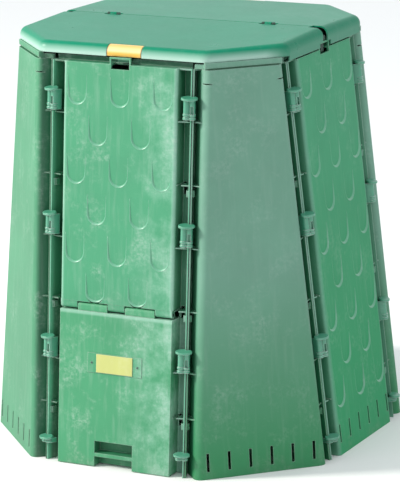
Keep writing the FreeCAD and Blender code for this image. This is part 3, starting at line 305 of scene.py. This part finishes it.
rear_wall_plastic = moulded_plastic(
    "rear wall plastic",
    wall_green,
    # Painted highlight: the rounded edges of the wall are paler.
    (Wash("X", highlight_round_edge, bleach_and_highlight_green, 0.5, both_sides=True),),
    channel_shade_green,
    dirt=0.2,
)
dress(rear_wall_plastic, "rear_wall")

# Painted shade: the right wall, in shade, has its own copy of the wall plastic. It turns a deeper
# green towards the bottom, and its rounded edges take a painted grey sheen.
shaded_green, edge_sheen_grey = (0.055, 0.29, 0.15), (0.17, 0.34, 0.26)
lower_part, lower_green = (0.85, 0.2), (0.022, 0.265, 0.105)
wide_edge = (0.144, 0.158)
shaded_wall_plastic = moulded_plastic(
    "shaded wall plastic",
    shaded_green,
    (
        Wash("Z", lower_part, lower_green, 0.9),
        Wash("Y", wide_edge, edge_sheen_grey, 0.8, both_sides=True),
    ),
    channel_shade_green,
    scuff=0.3,
    dirt=0.2,
    shine=0.15,
)
dress(shaded_wall_plastic, "right_wall")

# Corner panels: four smooth panels that taper towards the lid, moulded in the same
# plastic with a band on top that carries the lid. The two on the right have a painted
# grey sheen that thins out towards the foot; the others have painted shade on their
# flanks.

corner_green = (0.055, 0.24, 0.125)
corner_flank, corner_flank_shade_green = (0.234, 0.222), (0.012, 0.085, 0.04)
corner_plastic = moulded_plastic(
    "corner plastic",
    corner_green,
    (
        # Painted shade: the flanks of the corner panels are darkened.
        Wash("X", corner_flank, corner_flank_shade_green, 0.92, both_sides=True),
        Wash("Y", corner_flank, corner_flank_shade_green, 0.92, both_sides=True),
    ),
    channel_shade_green,
    scuff=0.45,
    dirt=0.2,
)
dress(corner_plastic, "front_left_corner", "rear_left_corner")

# Painted sheen: the grey of this copy stands for reflected light, thinned towards the foot.
sheen_grey_green = (0.128, 0.29, 0.208)
corner_foot, corner_foot_green = (0.5, 0.04), (0.018, 0.19, 0.07)
sheened_corner_plastic = moulded_plastic(
    "sheened corner plastic",
    sheen_grey_green,
    (Wash("Z", corner_foot, corner_foot_green, 1.0),),
    channel_shade_green,
    scuff=0.3,
    dirt=0.2,
)
dress(sheened_corner_plastic, "front_right_corner", "rear_right_corner")

# Lips of the scales: the rounded step at the foot of each sunk scale, moulded in one
# with the wall and paler than it as painted highlight. It dies out where the scale
# comes up to the face.

scale_half, scale_reach, scale_depth = 0.026, 0.078, 0.004
top_scale_foot, row_pitch, column_pitch = 0.8955, 0.0974, 0.1185
lip_share, side_points, bend_points = 0.95, 8, 19
face_at_ground, face_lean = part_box("right_wall")[1].x, 0.102
foot_above_flap = 0.4125
# Painted highlight: the lips are paler than the wall.
lip_highlight_green = (0.1, 0.35, 0.21)
lip_plastic = moulded_plastic(
    "lip plastic", lip_highlight_green, dirt=0.0, edge_wear_and_light=0.0, rough=0.24, shine=0.8
)

# The step's profile, from the face down to the scale's floor and back behind it: each
# point's run inwards and its sink, as a multiple of the scale's depth plus a fixed part.
run_per_depth = np.array([0.0, 0.3, 0.72, 1.08, 1.4, 1.4, 0.0])
run_fixed = np.array([-0.0006, 0.0, 0.0, 0.0, 0.0, 0.0, -0.001])
sink_per_depth = np.array([0.0, 0.1, 0.5, 0.9, 1.0, 1.0, 1.0])
sink_fixed = np.array([-0.00015, 0.0, 0.0, 0.0, 0.0005, 0.0012, 0.0012])


def lip_points(middle, foot, lowest):
    """Points of one lip on the front wall: its outline by the points of its profile.

    The outline runs down the left side of the scale, round its half circle and up the
    right side; a half circle that would pass below lowest is flattened. Each profile
    starts square to the outline. The depth falls from the full scale_depth at the foot
    to nothing scale_reach above it.
    """
    drop = np.linspace(lip_share * scale_reach - scale_half, 0.0, side_points)
    bend = np.linspace(math.pi, 2 * math.pi, bend_points + 2)[1:-1]
    side = np.full(side_points, scale_half)
    middle_up = foot + scale_half
    half_high = middle_up - max(foot, lowest)
    x = middle + np.concatenate((-side, scale_half * np.cos(bend), side))
    z = middle_up + np.concatenate((drop, half_high * np.sin(bend), drop[::-1]))
    tangent_x, tangent_z = np.gradient(x), np.gradient(z)
    length = np.hypot(tangent_x, tangent_z)
    inward_x, inward_z = -tangent_z / length, tangent_x / length
    depth = (scale_depth - (z - foot) * scale_depth / scale_reach)[:, None]
    run = run_per_depth * depth + run_fixed
    sink = sink_per_depth * depth + sink_fixed
    grid_x = x[:, None] + inward_x[:, None] * run
    grid_z = z[:, None] + inward_z[:, None] * run
    grid_y = sink + face_lean * grid_z - face_at_ground
    return np.stack((grid_x, grid_y, grid_z), axis=-1)


def scale_lips(name, quarter_turns, rows, lowest):
    """The lips of all scales of one wall, as closed strips with a cap at each end.

    Rows of three scales and of two take turns down the wall. The strips are worked out
    for the front wall and turned to their own wall about the middle of the bin.
    """
    lips = []
    for row in range(rows):
        for column in (-1, 0, 1) if row % 2 == 0 else (-0.5, 0.5):
            foot = top_scale_foot - row_pitch * row
            lips.append(lip_points(column_pitch * column, foot, lowest))
    count, along, around = np.shape(lips)[:3]
    angle = quarter_turns * math.pi / 2
    cosine, sine = round(math.cos(angle)), round(math.sin(angle))
    quarter = np.array(((cosine, sine, 0), (-sine, cosine, 0), (0, 0, 1)))
    points = np.reshape(lips, (-1, 3)) @ quarter

    ring, spoke = np.meshgrid(np.arange(along - 1), np.arange(around), indexing="ij")
    near, far = (ring * around).ravel(), ((ring + 1) * around).ravel()
    this, other = spoke.ravel(), (spoke.ravel() + 1) % around
    quads = np.stack((near + this, far + this, far + other, near + other), axis=1)
    first_cap = np.arange(around)
    caps = np.stack((first_cap, along * around - 1 - first_cap))
    starts = np.arange(count)[:, None, None] * along * around
    faces = (starts + quads).reshape(-1, 4).tolist() + (starts + caps).reshape(-1, around).tolist()

    mesh = bpy.data.meshes.new(name)
    mesh.from_pydata(points.tolist(), [], faces)
    mesh.polygons.foreach_set("use_smooth", [len(face) == 4 for face in faces])
    mesh.materials.append(lip_plastic)
    piece = bpy.data.objects.new(name, mesh)
    scene.collection.objects.link(piece)
    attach(piece, "bin")


scale_lips("front_scale_lips", 0, 6, foot_above_flap)
scale_lips("right_scale_lips", 1, 9, 0.0)
scale_lips("rear_scale_lips", 2, 9, 0.0)
scale_lips("left_scale_lips", 3, 9, 0.0)

# Emptying flap: the lower front, moulded in the walls' plastic and hinged along its
# top on a row of knuckles. Hands have scuffed it, and its top edge is bleached.

flap_green = (0.05, 0.275, 0.13)
flap_half, flap_top_edge, flap_knuckles = (0.0, 0.14), (0.378, 0.383), (0.3885, 0.3895)
flap_plastic = moulded_plastic(
    "flap plastic",
    flap_green,
    (
        Wash("X", flap_half, bleach_and_highlight_green, 0.5, patchy=True),
        Wash("Z", flap_top_edge, bleach_and_highlight_green, 0.55),
        Wash("Z", flap_knuckles, flap_green, 1.0),
    ),
    channel_shade_green,
    scuff=0.9,
    dirt=0.25,
)
dress(flap_plastic, "emptying_flap")

# Seam clips: small green mouldings pushed down over the two flanges of each seam,
# glossier than the walls, with pale edges that are painted highlight.

clip_green = (0.055, 0.28, 0.17)
# Painted highlight: the strong edge paling on the clips.
clip_plastic = moulded_plastic(
    "clip plastic", clip_green, scuff=0.3, dirt=0.3, edge_wear_and_light=0.75, rough=0.28, shine=0.8
)
for wall in ("front", "right", "rear", "left"):
    dress(clip_plastic, wall + "_wall_clips_a", wall + "_wall_clips_b")

# Lid halves: a bluer green than the walls, newer and smoother, washed clean by rain on
# top. The rim is paler where it turns down, a painted highlight, and its right end is
# darker, a painted shade.

lid_green = (0.004, 0.22, 0.12)
rim, rim_highlight_pale = (1.04, 1.022), (0.42, 0.6, 0.52)
right_end, right_end_shade_green = (0.335, 0.37), (0.012, 0.185, 0.1)
lid_plastic = moulded_plastic(
    "lid plastic",
    lid_green,
    (
        # Painted highlight: the rim is paler where it turns down.
        Wash("Z", rim, rim_highlight_pale, 0.85),
        # Painted shade: the right end of the lid is darker.
        Wash("X", right_end, right_end_shade_green, 0.85),
    ),
    scuff=0.14,
    dirt=0.0,
    edge_wear_and_light=0.15,
    rough=0.22,
    shine=0.1,
)
dress(lid_plastic, "front_lid", "rear_lid")

# Crossbar: the near-black bar over the middle of the bin that carries both lid halves,
# with legs that drop behind the keeper loops of the left and right walls.

# Its near-black is partly painted shade, where its ears show in the lid's notches.
crossbar_green = (0.01, 0.045, 0.028)
crossbar_plastic = moulded_plastic(
    "crossbar plastic", crossbar_green, scuff=0.1, dirt=0.0, edge_wear_and_light=0.05
)
dress(crossbar_plastic, "lid_crossbar")

# Pins: plain near-black green rods, pressed into the knuckles of the lid, the latches
# and the flap.

# Their near-black is partly painted shade, where the hinge pins show in the lid's notches.
pin_green = (0.02, 0.07, 0.045)
pin_plastic = moulded_plastic("pin plastic", pin_green, scuff=0.1, dirt=0.0)
dress(pin_plastic, "left_hinge_pin", "right_hinge_pin", "flap_hinge_pin")
dress(pin_plastic, "front_latch_pin", "rear_latch_pin")

# Latches: warm yellow, semi-gloss levers in the rim of each lid half, with a painted
# sheen band across the front and painted shade under their lower lip and at their
# ends. Each turns on its pin and holds a green hook.

latch_yellow, latch_sheen = (0.74, 0.42, 0.03), (0.8, 0.62, 0.3)
latch_shade, latch_end_shade_brown = (0.5, 0.28, 0.02), (0.14, 0.08, 0.01)
latch_front, latch_top, latch_lip = (1.025, 1.031), (1.038, 1.043), (1.0235, 1.0195)
end_shade_start, end_shade_full = 0.003, 0.001
for side in ("front", "rear"):
    low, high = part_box(side + "_latch")
    right_end_shade = (high.x - end_shade_start, high.x - end_shade_full)
    left_end_shade = (low.x + end_shade_start, low.x + end_shade_full)
    latch_plastic = moulded_plastic(
        side + " latch plastic",
        latch_yellow,
        (
            # Painted highlight: a pale sheen band across the latch's front.
            Wash("Z", latch_front, latch_sheen, 0.7),
            Wash("Z", latch_top, latch_yellow, 0.8),
            Wash("Z", latch_lip, latch_shade, 0.8),
            # Painted shade: the latch's ends darken where it sits in its notch.
            Wash("X", right_end_shade, latch_end_shade_brown, 0.85),
            Wash("X", left_end_shade, latch_end_shade_brown, 0.85),
        ),
        scuff=0.2,
        dirt=0.0,
        edge_wear_and_light=0.2,
        rough=0.3,
        coat=1.0,
    )
    dress(latch_plastic, side + "_latch")
hook_green = (0.03, 0.17, 0.09)
hook_plastic = moulded_plastic("hook plastic", hook_green, scuff=0.2, dirt=0.0, rough=0.36)
dress(hook_plastic, "front_latch_hook", "rear_latch_hook")

# Name plate: a bare sheet of faded yellow plastic in a thin green holder, which two
# rivets hold to the flap.

plate_yellow = (0.5, 0.52, 0.17)
plate_plastic = moulded_plastic("plate plastic", plate_yellow, scuff=0.4, dirt=0.2, rough=0.4)
dress(plate_plastic, "name_plate")
dress(flap_plastic, "plate_holder")
dress(pin_plastic, "plate_rivets")

# Floor: plain pale ground, part of the studio and not of the bin.

floor_half, floor_tint, floor_roughness = 14, (0.85, 0.85, 0.84, 1.0), 0.8
corners = [(x * floor_half, y * floor_half, 0) for x, y in ((-1, -1), (1, -1), (1, 1), (-1, 1))]
floor_mesh = bpy.data.meshes.new("floor")
floor_mesh.from_pydata(corners, [], [(0, 1, 2, 3)])
floor_paint = bpy.data.materials.new("floor paint")
floor_paint.use_nodes = True
floor_shader = floor_paint.node_tree.nodes["Principled BSDF"]
floor_shader.inputs["Base Color"].default_value = floor_tint
floor_shader.inputs["Roughness"].default_value = floor_roughness
floor_mesh.materials.append(floor_paint)
floor = bpy.data.objects.new("floor", floor_mesh)
scene.collection.objects.link(floor)
